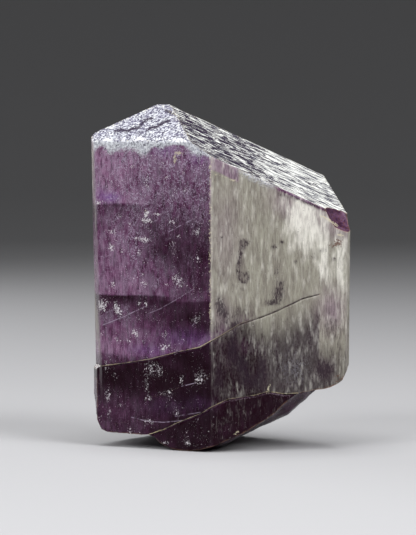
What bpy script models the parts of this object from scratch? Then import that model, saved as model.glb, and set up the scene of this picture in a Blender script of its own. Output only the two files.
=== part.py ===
"""A purple scapolite crystal: one natural tetragonal prism with a pyramid on top, broken off at its foot.

Units are metres, +Z is up and the crystal's c axis stands along Z. The view from the front looks along +Y.
Everything is set out from the c axis, which goes through the middle of the short ridge at the tip, and the
finished crystal is then moved so that its origin is at the middle of its foot.
"""

import math

import bmesh
import bpy
from mathutils import Matrix, Vector, noise

MM = 0.001

# The crystal's habit. Scapolite's pyramid faces slope by its axial ratio, and its prism faces turn in eighths.
NAME = "crystal"
HEIGHT = 52.4 * MM
AXIAL_RATIO = 0.6277
TURN = math.radians(14.4)
EIGHTH_TURN = math.radians(45)

# Each prism face: eighths of a turn from the front right one, distance from the c axis, lean in degrees.
# A face with a positive lean draws in towards the foot.
PRISM_FACES = {
    "front_left": (-1, 9.00 * MM, 0.0),
    "front_right": (0, 16.16 * MM, 0.0),
    "right_bevel": (1, 28.95 * MM, 0.3),
    "right": (2, 25.35 * MM, 0.5),
    "back_right": (3, 17.10 * MM, 2.0),
    "back": (4, 16.20 * MM, 0.0),
    "back_left": (5, 8.10 * MM, 0.0),
    "left": (-2, 11.60 * MM, 0.0),
}

# Each pyramid face: eighths of a turn, and how far its line at the tip stands out from the c axis.
PYRAMID_FACES = {
    "top_front": (-1, 0.0),
    "top_right": (1, 1.27 * MM),
    "top_back": (3, 0.0),
    "top_left": (5, 1.27 * MM),
}

# The left side's own outline: distance from the c axis and height, with a ledge where the crack comes out.
LEFT_SIDE = (
    (10.95 * MM, -8.0 * MM),
    (10.95 * MM, 12.0 * MM),
    (10.50 * MM, 12.3 * MM),
    (11.36 * MM, 46.6 * MM),
    (11.60 * MM, 56.0 * MM),
)

# Worn upright edges, and growth terraces on two pyramid faces: width, depth, number of steps and seed.
EDGE_WEAR = 0.22 * MM
TERRACES = {
    "top_right": (1.25 * MM, 0.15 * MM, 24, 11),
    "top_left": (1.60 * MM, 0.11 * MM, 18, 23),
}

# The broken foot, in millimetres: height of its lowest line at each place across the front, left to right.
# The main break is the upper surface, and the lens is the sliver of crystal left below it.
MAIN_BREAK = (
    (-12.0, 12.0), (-10.6, 5.8), (-10.2, 3.1), (-8.9, 2.2), (-3.2, 2.05), (-2.1, 2.2), (2.2, 4.1),
    (6.0, 5.8), (9.9, 7.9), (14.1, 8.45), (16.0, 8.95), (18.4, 8.5), (20.4, 8.65), (22.8, 9.05),
    (24.4, 9.15), (25.5, 9.5), (27.1, 10.2), (27.9, 11.9), (30.0, 15.5),
)
LENS_BREAK = (
    (-12.0, 9.0), (-3.4, 3.1), (-2.1, 2.05), (-1.2, 1.7), (-0.3, 0.85), (1.0, 0.34), (2.9, 0.0),
    (4.1, 0.05), (5.7, 0.3), (7.8, 1.0), (9.9, 1.85), (12.3, 2.85), (14.1, 3.95), (16.5, 5.35),
    (18.5, 7.25), (20.4, 8.7), (22.5, 11.2), (30.0, 24.0),
)
BELOW_FOOT = -6 * MM
FOOT_GRID = 0.9 * MM
FOOT_REACH = 30 * MM
FOOT_MIDDLE = (8 * MM, 1 * MM)
FOOT_FALL = math.tan(math.radians(5.1))  # the break drops away from the front, so the crystal stands well
RIPPLE_DEPTH = 0.10 * MM
RIPPLE_LENGTH = 3.4 * MM
RIPPLE_START = (-9.5 * MM, -13.0 * MM)
RIPPLE_WOBBLE = 4.8
LUMP_DEPTH = 0.40 * MM
LUMP_LENGTH = 6.5 * MM
WANDER = 2.6 * MM
FULL_WANDER = 5 * MM
BACK_RISE = (28 * MM, 6 * MM, 2.5 * MM)

# Two cracks come out on the front faces. Their lines in millimetres: across and up from the c axis's foot.
CRACKS = {
    "upper": (
        (-9.5, 12.2), (-6.0, 12.8), (-1.9, 13.6), (2.4, 14.9), (5.6, 15.7), (7.26, 16.7), (8.8, 17.5),
        (11.8, 19.3), (15.0, 20.3), (17.1, 21.1), (19.5, 22.2), (21.2, 23.0), (23.7, 23.6),
    ),
    "lower": (
        (-2.4, 2.0), (0.2, 3.0), (2.2, 4.1), (6.0, 5.8), (7.26, 6.7), (9.9, 7.9), (14.1, 8.45),
        (16.0, 8.95), (18.4, 8.5), (20.6, 8.6),
    ),
}
CRACK_WIDTH = 0.13 * MM
CRACK_DEPTH = 0.40 * MM
CRACK_STEP = 0.15 * MM

# Scoops that breaks and knocks have taken out: centre across, back and up from the c axis's foot, and radius.
# All in millimetres. The first is the large break low on the hidden right-hand corner.
SCOOPS = {
    "back_right_break": ((30.5, 24.5, 9.0), 24.0),
    "top_right_corner": ((29.4, -11.4, 37.4), 5.0),
    "right_foot_corner": ((31.4, -7.0, 10.6), 4.4),
    "back_foot_corner": ((6.9, 20.9, 4.0), 6.0),
    "back_edge_nick": ((1.5, 19.3, 28.5), 2.6),
}
LARGE_RADIUS = 10.0
LARGE_DIVISIONS = 5
SMALL_DIVISIONS = 3
SCOOP_LUMPS = 0.045

PURPLE = (0.105, 0.020, 0.095, 1.0)


def clear_scene():
    """Removes the start-up objects."""
    for thing in list(bpy.data.objects):
        bpy.data.objects.remove(thing)


def make_collection(name):
    """A new collection in the scene."""
    made = bpy.data.collections.new(name)
    bpy.context.scene.collection.children.link(made)
    return made


def new_object(bm, name, collection):
    """Turns a bmesh into an object of a collection, with its faces pointing out."""
    bmesh.ops.recalc_face_normals(bm, faces=bm.faces[:])
    mesh = bpy.data.meshes.new(name)
    bm.to_mesh(mesh)
    bm.free()
    made = bpy.data.objects.new(name, mesh)
    collection.objects.link(made)
    return made


def outward(eighths):
    """The level direction that a face turned by so many eighths looks in."""
    angle = TURN + eighths * EIGHTH_TURN
    return Vector((math.sin(angle), -math.cos(angle), 0.0))


def prism_plane(eighths, distance, lean):
    """A point on a prism face at mid height, and its outward normal."""
    out = outward(eighths)
    tilt = math.radians(lean)
    point = out * distance + Vector((0, 0, HEIGHT / 2))
    return point, out * math.cos(tilt) - Vector((0, 0, math.sin(tilt)))


def pyramid_plane(eighths, stand_out):
    """A point on a pyramid face at the tip's height, and its outward normal."""
    out = outward(eighths)
    slope = math.atan(AXIAL_RATIO)
    normal = out * math.sin(slope) + Vector((0, 0, math.cos(slope)))
    return out * stand_out + Vector((0, 0, HEIGHT)), normal


def cut_face(bm, point, normal):
    """Cuts the solid off flat outside one crystal face, and closes the cut."""
    geometry = bm.verts[:] + bm.edges[:] + bm.faces[:]
    cut = bmesh.ops.bisect_plane(
        bm, geom=geometry, dist=1e-7, plane_co=point, plane_no=normal, clear_outer=True
    )
    edges = [item for item in cut["geom_cut"] if isinstance(item, bmesh.types.BMEdge)]
    bmesh.ops.contextual_create(bm, geom=edges)


def wear_edges(bm):
    """Rounds off the upright edges a little, where the real ones are frosted by knocks."""
    upright = []
    for edge in bm.edges:
        way = (edge.verts[0].co - edge.verts[1].co).normalized()
        if abs(way.z) > 0.9 and edge.calc_face_angle(0.0) > 0.1:
            upright.append(edge)
    bmesh.ops.bevel(bm, geom=upright, offset=EDGE_WEAR, segments=2, profile=0.6, affect="EDGES")


def faceted_crystal(collection):
    """The whole crystal with flat faces, before the foot is broken off."""
    bm = bmesh.new()
    bmesh.ops.create_cube(bm, size=4 * HEIGHT)
    for eighths, distance, lean in PRISM_FACES.values():
        cut_face(bm, *prism_plane(eighths, distance, lean))
    cut_face(bm, Vector((0, 0, BELOW_FOOT)), Vector((0, 0, -1)))
    for eighths, stand_out in PYRAMID_FACES.values():
        cut_face(bm, *pyramid_plane(eighths, stand_out))
    wear_edges(bm)
    return new_object(bm, NAME, collection)


def add_cut(crystal, cutter):
    """Takes a cutter's shape out of the crystal with an exact Boolean."""
    cutter.hide_render = True
    cutter.display_type = "WIRE"
    cut = crystal.modifiers.new("cut_" + cutter.name, "BOOLEAN")
    cut.operation = "DIFFERENCE"
    cut.solver = "EXACT"
    cut.object = cutter


def swept_block(name, corners, sweep, collection):
    """A block with a flat outline, given by its corners, that is swept along a straight way."""
    bm = bmesh.new()
    side = bm.faces.new([bm.verts.new(corner) for corner in corners])
    swept = bmesh.ops.extrude_face_region(bm, geom=[side])
    moved = [item for item in swept["geom"] if isinstance(item, bmesh.types.BMVert)]
    bmesh.ops.translate(bm, verts=moved, vec=sweep)
    return new_object(bm, name, collection)


def left_side_cutter(collection):
    """The block outside the left side, which leans in down to the ledge at the upper crack."""
    out = outward(PRISM_FACES["left"][0])
    along = Vector((0, 0, 1)).cross(out)
    far = 8 * MM
    (low, bottom), (high, top) = LEFT_SIDE[0], LEFT_SIDE[-1]
    outline = [(low + far, bottom), *LEFT_SIDE, (high + far, top)]
    corners = [out * distance + Vector((0, 0, up)) - along * HEIGHT for distance, up in outline]
    return swept_block("left_side", corners, along * 2 * HEIGHT, collection)


def unit_noise(value, seed):
    """A repeatable number from -1 to 1 that changes smoothly with value."""
    return noise.noise(Vector((value, seed * 7.31, 0.5)))


def terrace_outline(width, depth, count, seed):
    """Points of a saw-toothed line: each growth terrace slopes gently and then drops."""
    place = -width * count / 2
    points = []
    for step in range(count):
        tread = width * (1 + 0.55 * unit_noise(step * 1.7, seed))
        drop = depth * (0.62 + 0.38 * unit_noise(step * 2.3 + 40, seed))
        points.append((place, -0.15 * drop))
        points.append((place + 0.78 * tread, -drop))
        place += tread
    return points


def terrace_cutter(face, collection):
    """A corrugated block that lies on a pyramid face, with its ribs along the ridge at the back of the face."""
    width, depth, count, seed = TERRACES[face]
    point, normal = pyramid_plane(*PYRAMID_FACES[face])
    ridge = normal.cross(pyramid_plane(*PYRAMID_FACES["top_back"])[1]).normalized()
    across = ridge.cross(normal).normalized()
    outline = terrace_outline(width, depth, count, seed)
    thick = 8 * MM
    outline = [(outline[0][0], thick), *outline, (outline[-1][0], thick)]
    corners = [point + across * place + normal * up - ridge * HEIGHT for place, up in outline]
    return swept_block("terraces_" + face, corners, ridge * 2 * HEIGHT, collection)


def on_line(points, across):
    """The height of a line of points, given in millimetres, at a place across it."""
    place = across / MM
    for (x0, z0), (x1, z1) in zip(points, points[1:]):
        if place <= x1:
            share = max(0.0, (place - x0) / (x1 - x0))
            return (z0 + (z1 - z0) * share) * MM
    return points[-1][1] * MM


def front_depth(across):
    """How far in front of the c axis the two front faces stand at a place across it."""
    depths = []
    for eighths, distance, _ in (PRISM_FACES["front_left"], PRISM_FACES["front_right"]):
        out = outward(eighths)
        depths.append((distance - out.x * across) / -out.y)
    return min(depths)


def foot_relief(place):
    """Lumps, and the curved ripples that run out from where the break began. Never below nothing."""
    lump = noise.noise(place / LUMP_LENGTH + Vector((3.1, 0.4, 0.7)))
    way = (place - Vector((*RIPPLE_START, 0.0))).length
    wobble = RIPPLE_WOBBLE * noise.noise(place / (9 * MM))
    ripple = math.sin(2 * math.pi * way / RIPPLE_LENGTH + wobble)
    return LUMP_DEPTH * (0.5 + 0.5 * lump) + RIPPLE_DEPTH * (0.5 + 0.5 * ripple)


def foot_height(across, back):
    """How high the broken foot is over the ground at a place across and back from the c axis."""
    place = Vector((across, back, 0.0))
    behind = max(0.0, back + front_depth(across))
    settled = min(1.0, behind / FULL_WANDER)
    across += WANDER * settled * (noise.noise(place / (8 * MM) + Vector((0.3, 5.2, 0.0))) - 0.45)
    fall = FOOT_FALL * behind
    right = min(1.0, max(0.0, across - 9 * MM) / (18 * MM))
    main = on_line(MAIN_BREAK, across) - fall * (1 - right)
    lens = on_line(LENS_BREAK, across) - fall
    start, reach, rise = BACK_RISE
    back_edge = rise * (max(0.0, behind - start) / reach) ** 2
    relief = foot_relief(place) * min(1.0, behind / MM)
    return max(0.0, min(main, lens) + back_edge + relief)


def foot_cutter(collection):
    """A block whose top is the broken foot."""
    bm = bmesh.new()
    cells = round(2 * FOOT_REACH / FOOT_GRID)
    bmesh.ops.create_grid(bm, x_segments=cells, y_segments=cells, size=FOOT_REACH)
    bmesh.ops.translate(bm, verts=bm.verts[:], vec=Vector((*FOOT_MIDDLE, 0)))
    for vert in bm.verts:
        vert.co.z = foot_height(vert.co.x, vert.co.y)
    swept = bmesh.ops.extrude_face_region(bm, geom=bm.faces[:])
    for item in swept["geom"]:
        if isinstance(item, bmesh.types.BMVert):
            item.co.z = 2 * BELOW_FOOT
    return new_object(bm, "broken_foot", collection)


def crack_cutter(name, collection):
    """A thin wedge along a crack's line on the two front faces, which opens the crack's mouth."""
    bm = bmesh.new()
    rings = []
    line = CRACKS[name]
    for number, (across, up) in enumerate(line):
        mouth = Vector((across * MM, -front_depth(across * MM), up * MM))
        out = (outward(-1) + outward(0)).normalized()
        width = CRACK_WIDTH * (0.5 if number in (0, len(line) - 1) else 1.0)
        rise = Vector((0, 0, width))
        deep = mouth - out * CRACK_DEPTH * width / CRACK_WIDTH
        corners = (mouth + out * CRACK_STEP + rise, mouth + out * CRACK_STEP - rise, deep)
        rings.append([bm.verts.new(corner) for corner in corners])
    for ring, following in zip(rings, rings[1:]):
        for side in range(3):
            after = (side + 1) % 3
            bm.faces.new((ring[side], ring[after], following[after], following[side]))
    bm.faces.new(rings[0])
    bm.faces.new(rings[-1])
    return new_object(bm, "crack_" + name, collection)


def scoop_cutter(name, collection):
    """A lumpy ball, because scapolite breaks like glass, in shallow scoops."""
    centre, radius = SCOOPS[name]
    bm = bmesh.new()
    divisions = LARGE_DIVISIONS if radius > LARGE_RADIUS else SMALL_DIVISIONS
    bmesh.ops.create_icosphere(bm, subdivisions=divisions, radius=radius * MM)
    for vert in bm.verts:
        swell = noise.noise(vert.co / (0.3 * radius * MM) + Vector(centre))
        vert.co *= 1 + SCOOP_LUMPS * swell
    bmesh.ops.translate(bm, verts=bm.verts[:], vec=Vector(centre) * MM)
    return new_object(bm, "scoop_" + name, collection)


def purple_scapolite():
    """The crystal's own colour."""
    made = bpy.data.materials.new("purple_scapolite")
    made.use_nodes = True
    shader = made.node_tree.nodes["Principled BSDF"]
    shader.inputs["Base Color"].default_value = PURPLE
    shader.inputs["Roughness"].default_value = 0.25
    shader.inputs["Metallic"].default_value = 0.0
    shader.inputs["IOR"].default_value = 1.55
    shader.inputs["Transmission Weight"].default_value = 0.6
    return made


def centre_over_origin(objects, crystal):
    """Moves everything so that the crystal's box stands on the origin."""
    graph = bpy.context.evaluated_depsgraph_get()
    corners = [Vector(corner) for corner in crystal.evaluated_get(graph).bound_box]
    low = Vector(min(corner[i] for corner in corners) for i in range(3))
    high = Vector(max(corner[i] for corner in corners) for i in range(3))
    shift = Vector(((low.x + high.x) / 2, (low.y + high.y) / 2, low.z))
    for thing in objects:
        thing.data.transform(Matrix.Translation(-shift))


def main():
    """Builds the crystal."""
    clear_scene()
    parts = make_collection("scapolite_crystal")
    cutters = make_collection("cutters")
    crystal = faceted_crystal(parts)
    crystal.data.materials.append(purple_scapolite())
    tools = [left_side_cutter(cutters)]
    tools += [terrace_cutter(face, cutters) for face in TERRACES]
    tools += [foot_cutter(cutters)]
    tools += [crack_cutter(name, cutters) for name in CRACKS]
    tools += [scoop_cutter(name, cutters) for name in SCOOPS]
    for tool in tools:
        add_cut(crystal, tool)
    bpy.context.view_layer.update()
    centre_over_origin([crystal, *tools], crystal)


main()
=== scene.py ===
"""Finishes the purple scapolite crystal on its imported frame, and sets up its stage.

The crystal keeps the frame's own facets, cut into small cells and etched by a Geometry Nodes tree. Its zones
of colour, frosted film, flecks, worn edges and cracks are written to the mesh for its material to read.
"""

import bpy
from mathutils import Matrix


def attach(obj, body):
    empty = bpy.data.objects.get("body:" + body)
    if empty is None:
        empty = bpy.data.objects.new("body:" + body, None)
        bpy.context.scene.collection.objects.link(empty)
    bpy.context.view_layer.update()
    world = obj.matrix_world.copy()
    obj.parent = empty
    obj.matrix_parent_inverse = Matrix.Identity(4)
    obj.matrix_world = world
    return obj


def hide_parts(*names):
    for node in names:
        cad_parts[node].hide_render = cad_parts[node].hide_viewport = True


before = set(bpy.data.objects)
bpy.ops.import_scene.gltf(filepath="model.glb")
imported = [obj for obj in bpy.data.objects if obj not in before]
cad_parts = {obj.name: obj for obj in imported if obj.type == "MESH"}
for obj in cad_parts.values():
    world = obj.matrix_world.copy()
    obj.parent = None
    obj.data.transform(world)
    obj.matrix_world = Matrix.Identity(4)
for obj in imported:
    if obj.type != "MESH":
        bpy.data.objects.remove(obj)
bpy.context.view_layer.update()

import math

import bmesh
import bpy
import numpy as np
from bpy.props import FloatProperty, FloatVectorProperty, IntProperty, PointerProperty
from mathutils import Vector
from mathutils.geometry import delaunay_2d_cdt
from mathutils.kdtree import KDTree

bl_info = {
    "name": "Purple Scapolite Crystal",
    "version": (1, 0, 0),
    "blender": (4, 5, 0),
    "location": "3D View > Sidebar > Scapolite",
    "description": "Finishes a purple scapolite crystal and sets up its stage",
    "category": "Object",
}

MM = 0.001
NODE = "crystal"

# The crystal's habit: how far its front right face is turned, and scapolite's axial ratio.
TURN = math.radians(14.4)
EIGHTH_TURN = math.radians(45)
SLOPE = math.atan(0.6277)

# The front upright edge, across from the c axis in millimetres.
FRONT_EDGE = 7.26

# Each flat face, and how many eighths of a turn it is from the front right one.
PRISM = {
    "front_left": -1,
    "front_right": 0,
    "right_bevel": 1,
    "right": 2,
    "back_right": 3,
    "back": 4,
    "back_left": 5,
    "left": -2,
}
PYRAMID = {"top_front": -1, "top_right": 1, "top_back": 3, "top_left": 5}
HABIT = (*PRISM, *PYRAMID, "broken")
SEEN_FACES = ("front_left", "front_right", "top_front", "top_right")
FROSTED_FACES = ("top_front", "top_back")
STRIATED_FACES = ("top_right", "top_left")

# How far a facet may turn and lie from the flat face that it belongs to.
FACE_SPREAD = math.cos(math.radians(12))
TERRACE_SPREAD = math.cos(math.radians(38))
FACE_DEPTH = 0.5 * MM

# How triangles are merged into facets, how level the ridge is, and which angles stay sharp.
MERGE_DISTANCE = 0.002 * MM
FLAT_ANGLE = math.radians(0.6)
RIDGE_DROP = 0.02 * MM
SHARP_ANGLE = math.radians(28)

# How far the grid inside a facet keeps from its outline, in cells.
GRID_MARGIN = 0.6

# The two cracks' lines on the front faces in millimetres: across from the c axis, and up from the ground.
UPPER_CRACK = (
    (-9.5, 12.2), (-6, 12.8), (-1.9, 13.6), (2.4, 14.9), (5.6, 15.7), (FRONT_EDGE, 16.7), (8.8, 17.5),
    (11.8, 19.3), (15, 20.3), (17.1, 21.1), (19.5, 22.2), (21.2, 23), (23.7, 23.6),
)
LOWER_CRACK = (
    (-2.4, 2), (0.2, 3), (2.2, 4.1), (6, 5.8), (FRONT_EDGE, 6.7), (9.9, 7.9), (14.1, 8.45), (16, 8.95),
    (18.4, 8.5), (20.6, 8.6),
)

# How far a crack's walls lie from its line, and how much the upper crack rises with each millimetre inwards.
CRACK_REACH = 0.6
UPPER_CRACK_RISE = 0.19

# Where the front faces lie, from the left to the right in millimetres: across from the c axis, and in depth.
FRONT_DEPTH = ((-10.5, -4.2), (FRONT_EDGE, -14.7), (28, -9.4))


def colour(red, green, blue):
    """A colour from the numbers that a paint program shows, as the linear light that shaders use."""
    return (*((part / 255) ** 2.2 for part in (red, green, blue)), 1)


# Paints, each for one finish wherever it shows, save the ones marked as painted light or shade.
DEEP = colour(30, 4, 18)
PLUM = colour(96, 58, 88)
MAUVE = colour(158, 118, 150)
VIOLET = colour(128, 88, 158)
VEIL = colour(186, 172, 194)
FLECK = colour(222, 218, 222)
CREAM = colour(218, 210, 180)
# The next paint is a painted reflection: the light that a crack's plane throws back at its lip.
LIP_GLINT = colour(222, 204, 160)
RUST = colour(92, 58, 44)
TAN = colour(136, 108, 88)
INK = colour(42, 30, 54)
# The film's two greys are partly its own colour and partly painted sheen.
OLIVE = colour(158, 156, 142)
OLIVE_SHADE = colour(122, 117, 108)
# The shaded film is painted shade: the film where no sheen falls on it.
SHADED_FILM = colour(70, 64, 67)
# SHEEN is a painted highlight, for the brightest sheen on the front right face.
SHEEN = colour(236, 234, 224)
BLUSH = colour(152, 130, 146)
BLUSH_SHADE = colour(112, 92, 108)
SMUDGE = colour(76, 66, 69)
SOOT = colour(44, 33, 42)
FROST = colour(232, 236, 241)
FROST_SHADE = colour(92, 90, 110)
HAZE = colour(150, 148, 176)
SNOW = colour(248, 248, 252)
STRIA = colour(250, 252, 247)
STRIA_SHADE = colour(92, 92, 104)
# The darker paint of the shaded film, painted shade as well.
SHADED_FILM_DARK = colour(50, 43, 47)
BREAK = colour(104, 76, 100)
BREAK_SHADE = colour(52, 30, 50)

# How light the purple is, up from the ground in millimetres: at the left of the crystal and at its right.
# Their dark values just under the upper crack are painted shadow.
LIGHT_LEFT = (
    (0, 0.14), (5, 0.18), (9, 0.05), (11.6, 0), (14.1, 0.38), (14.3, 0.64), (17, 0.54), (20, 0.32),
    (23.2, 0.04), (23.45, 0.66), (27, 0.56), (31, 0.52), (34, 0.36), (37, 0.18), (37.3, 0.68), (42, 0.69),
    (47, 0.68),
)
LIGHT_RIGHT = (
    (0, 0), (5, 0.02), (9, 0), (13, 0), (17, 0.12), (20, 0.06), (22.5, 0.08), (22.8, 0.24), (25, 0.17),
    (28, 0.1), (33, 0.14), (37, 0.28), (42, 0.38), (47, 0.5),
)

# The strip of painted light on the upper crack: its height and how much it adds. Then how far down the
# painted shadow under it reaches.
STRIP_HEIGHT = 2.2
STRIP_LIGHT = 0.26
SHADOW_DEPTH = 3.0

# Spots in millimetres: across from the c axis, up, half width, half height and strength.
VIOLET_SPOTS = (
    (-7.9, 38.2, 1.3, 0.7, 1), (-9.6, 38.6, 0.9, 1.2, 0.35), (0.4, 45.4, 1.8, 1, 0.5),
    (5.4, 44.4, 1.4, 1.3, 0.5), (4, 17.2, 3.6, 1.3, 0.85), (-2, 15, 3, 1, 0.5), (5.2, 7.4, 2.6, 1.6, 0.7),
    (0.5, 6.6, 3, 1.3, 0.4),
)
FLECKS = (
    (-2.4, 35.8, 0.5, 0.5, 1), (-2.4, 34.8, 0.8, 0.35, 1), (-0.8, 35.7, 0.6, 0.22, 0.9),
    (1.4, 34.6, 0.45, 0.3, 1), (3.4, 39.4, 0.45, 0.4, 0.9), (-7.2, 33.4, 0.22, 0.7, 0.9),
    (-7.4, 32, 0.2, 0.5, 0.8), (-7.9, 32.9, 0.25, 0.3, 0.8), (-7.9, 30.5, 0.42, 0.5, 1.1),
    (-5, 33.9, 0.25, 0.6, 0.6), (-3.9, 32, 0.7, 0.3, 0.9), (-2.6, 31.8, 0.7, 0.5, 0.9),
    (-3.6, 29.9, 0.35, 0.5, 0.7), (-6.3, 30.1, 0.3, 0.4, 0.7), (-6.5, 35.4, 0.6, 0.3, 0.5),
    (-9.9, 37.4, 0.6, 0.4, 0.9), (-2.7, 28.4, 0.35, 0.5, 0.6), (5.2, 33.1, 0.6, 0.4, 0.55),
    (2.4, 32.5, 0.4, 0.3, 0.7), (1.4, 31.4, 0.4, 0.35, 0.7), (5.3, 29, 0.4, 0.6, 0.7),
    (-7.6, 24.9, 0.28, 0.5, 1), (-2.7, 25.1, 0.45, 0.4, 0.6), (0.6, 25.1, 0.5, 0.3, 0.7),
    (1.6, 26.2, 0.35, 0.4, 0.5), (2.6, 25.4, 0.7, 0.9, 0.5), (-0.2, 43, 0.6, 0.5, 0.6),
    (3, 42.2, 0.5, 0.4, 0.5), (-4.6, 42.9, 0.6, 0.5, 0.5), (-2.3, 40.3, 0.6, 1.4, 0.45),
    (0.6, 41.4, 0.5, 0.7, 0.5), (-9.4, 21.7, 0.8, 0.8, 1), (-7.1, 21.5, 0.5, 1, 0.9),
    (-6.6, 20.7, 0.5, 0.5, 0.9), (-3.6, 22.1, 0.3, 0.5, 0.8), (-2.5, 22.1, 0.3, 0.3, 0.8),
    (-3.6, 19.7, 0.5, 0.3, 0.8), (-4.2, 17.5, 0.5, 0.6, 0.9), (-6.9, 16.4, 0.6, 0.4, 0.7),
    (-9.4, 17.4, 0.5, 0.4, 0.6), (-5, 16.2, 0.3, 0.5, 0.6), (0.2, 17.6, 0.6, 0.8, 0.5),
    (0.3, 15.6, 0.9, 0.7, 0.8), (-1.9, 14.8, 0.7, 0.4, 0.5), (4.9, 19.8, 0.5, 0.5, 0.6),
    (5.6, 18, 0.4, 0.3, 0.6), (-1.2, 12.1, 1.2, 1, 0.55), (-2.4, 9.6, 0.4, 1.4, 0.6),
    (-2.1, 7.6, 0.5, 0.4, 0.6), (0.1, 8.7, 0.9, 0.5, 0.55), (1, 8.9, 0.4, 0.3, 0.7),
    (2.9, 10.8, 0.35, 0.9, 0.7), (5.6, 10.9, 1.1, 1.2, 0.45), (-8.6, 12.2, 0.3, 0.9, 0.5),
    (-8.6, 8, 0.5, 1.2, 0.5), (-8.2, 5.4, 0.4, 0.5, 0.6), (-7.4, 11, 0.4, 0.5, 0.5),
    (-5.2, 2.5, 0.4, 0.5, 0.8), (0.4, 1.1, 0.6, 0.3, 1), (3.8, 1.2, 0.4, 0.3, 1), (3.5, 2.6, 0.5, 0.7, 0.4),
    (-2.1, 4.2, 0.7, 0.35, 0.5), (2.2, 5.6, 0.4, 0.4, 0.5), (-6.6, 6.4, 0.5, 0.4, 0.5),
)
CREAM_SPOTS = ((2.6, 45, 0.7, 0.3, 1), (1.9, 44.1, 0.35, 0.8, 1), (-2.5, 36, 0.4, 0.5, 0.6))
# Painted highlights on the front right face, where its sheen is brightest; a negative strength dims it.
PAINTED_HIGHLIGHT_SPOTS = (
    (20.6, 34.6, 2, 4, 1), (23.2, 32.6, 1.6, 3.6, 0.6), (24.6, 27.6, 1.1, 2.6, 0.85),
    (27, 27.3, 0.8, 3.2, 0.9), (26, 31.6, 2.4, 2.2, 0.3), (22, 36.6, 3.2, 1.4, 0.35),
    (18.2, 24, 3, 4, -0.15),
)
DARK_SPOTS = (
    (12.3, 31.4, 1.1, 0.7, 0.2), (12, 29, 0.7, 2.6, 0.3), (12.3, 26.2, 1.1, 0.8, 0.15),
    (12, 24.6, 0.4, 0.4, 0.7), (16.8, 30.9, 0.55, 0.5, 0.9), (18, 31.6, 0.35, 0.35, 1),
    (17.5, 23.7, 1.3, 1.3, 0.9), (17.8, 25.4, 0.8, 0.9, 0.6), (16.4, 22.4, 1.2, 0.5, 0.75),
    (17.2, 27.1, 0.4, 0.8, 0.6), (8.6, 22.6, 0.7, 1.4, 0.8), (9.2, 20.8, 0.7, 1.3, 0.6),
    (16.2, 35.2, 0.4, 0.8, 0.5), (22.6, 29.3, 1.3, 0.6, 0.5), (24.3, 30.3, 1.1, 0.5, 0.5),
    (26, 28.9, 0.4, 0.4, 0.9), (9, 32.4, 0.4, 0.3, 0.6), (20.1, 28.6, 0.35, 0.4, 0.7),
    (23.4, 20.4, 1.2, 1, 0.45), (25, 21.4, 0.5, 1.6, 0.4), (10.5, 15.3, 0.9, 2.6, 1),
    (10.9, 18.7, 0.8, 1.2, 0.9), (12.1, 13, 1, 1.8, 1), (15.2, 12.6, 0.9, 3, 1), (8.4, 11, 1.3, 3, 0.7),
    (13.4, 10.4, 2, 1.4, 0.8), (24.2, 12.2, 1.6, 1.9, 1), (18.5, 10, 2.5, 1, 0.5),
    (11, 21.2, 3.4, 1.5, 0.4), (25.6, 12.4, 1, 1.4, 0.3),
)
BLUSH_SPOTS = ((25.7, 21.2, 2.2, 3.2, 0.7), (9.4, 33, 2.6, 7, 0.35), (9, 20.6, 1.4, 2.4, 0.5))
STAIN_SPOTS = (
    (25.8, 31.1, 1.1, 0.6, 0.8), (26.8, 31.6, 0.7, 0.7, 0.9), (26.9, 10.9, 1.6, 1.2, 0.65),
    (25.4, 9.4, 1.6, 0.8, 0.7),
)
PATCHES = (
    (-8.6, 47, 1.2, 0.35, 0.9), (-6, 46.9, 0.5, 0.35, 0.8), (-3.4, 47.1, 1.2, 0.45, 0.9),
    (2.6, 46.9, 1.5, 0.5, 0.9), (-2.4, 50, 1, 0.7, 0.6),
)

# Columns that hold more flecks: across, and half width.
FLECK_COLUMNS = ((-2.9, 0.7), (-8.4, 0.6), (1.9, 0.7), (5.4, 0.7), (-9.9, 0.5))

# Lines in millimetres, across and up, each with its strength, and how wide they are.
CREAM_WIDTH = 0.22
CREAM_LINES = (
    (1, (24, 35.5), (25.2, 34.9), (26.4, 34)),
    (1, (26.5, 32.7), (27.3, 32.5)),
    (1.1, (15.9, 8.9), (16, 9.5), (16.25, 10.1)),
    (0.9, (10.9, 2.7), (11.4, 3.1)),
    (0.6, (7.9, 41.9), (9.6, 41.4), (11.6, 40.6)),
)
SMEAR_WIDTH = 0.4
SMEARS = (
    (0.62, (12, 31), (11.9, 31.6), (12.4, 31.9), (12.8, 31.5), (12.4, 31), (11.8, 30.4), (11.6, 29.2),
     (11.4, 27.6), (11.5, 26.4), (11.9, 25.7), (12.5, 25.6), (13, 26.2), (12.8, 26.9), (12.4, 26.7)),
    (0.62, (17.6, 38.9), (20.6, 37.9), (23.4, 36.8)),
)
GROOVE_WIDTH = 0.32
GROOVES = (
    (1.15, (-7.3, 48.3), (-6.4, 48.5), (-5.5, 48.3), (-4.6, 48.7), (-3.8, 48.8), (-3.2, 49.5), (-2.7, 50),
     (-1.7, 50.3)),
    (1.15, (-2.4, 48.4), (-1.7, 48.9), (-1, 48.9), (-0.1, 49.5), (0.9, 49.9)),
    (1.15, (0.4, 51.5), (1.1, 51.2), (1.8, 50.8)),
)

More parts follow.
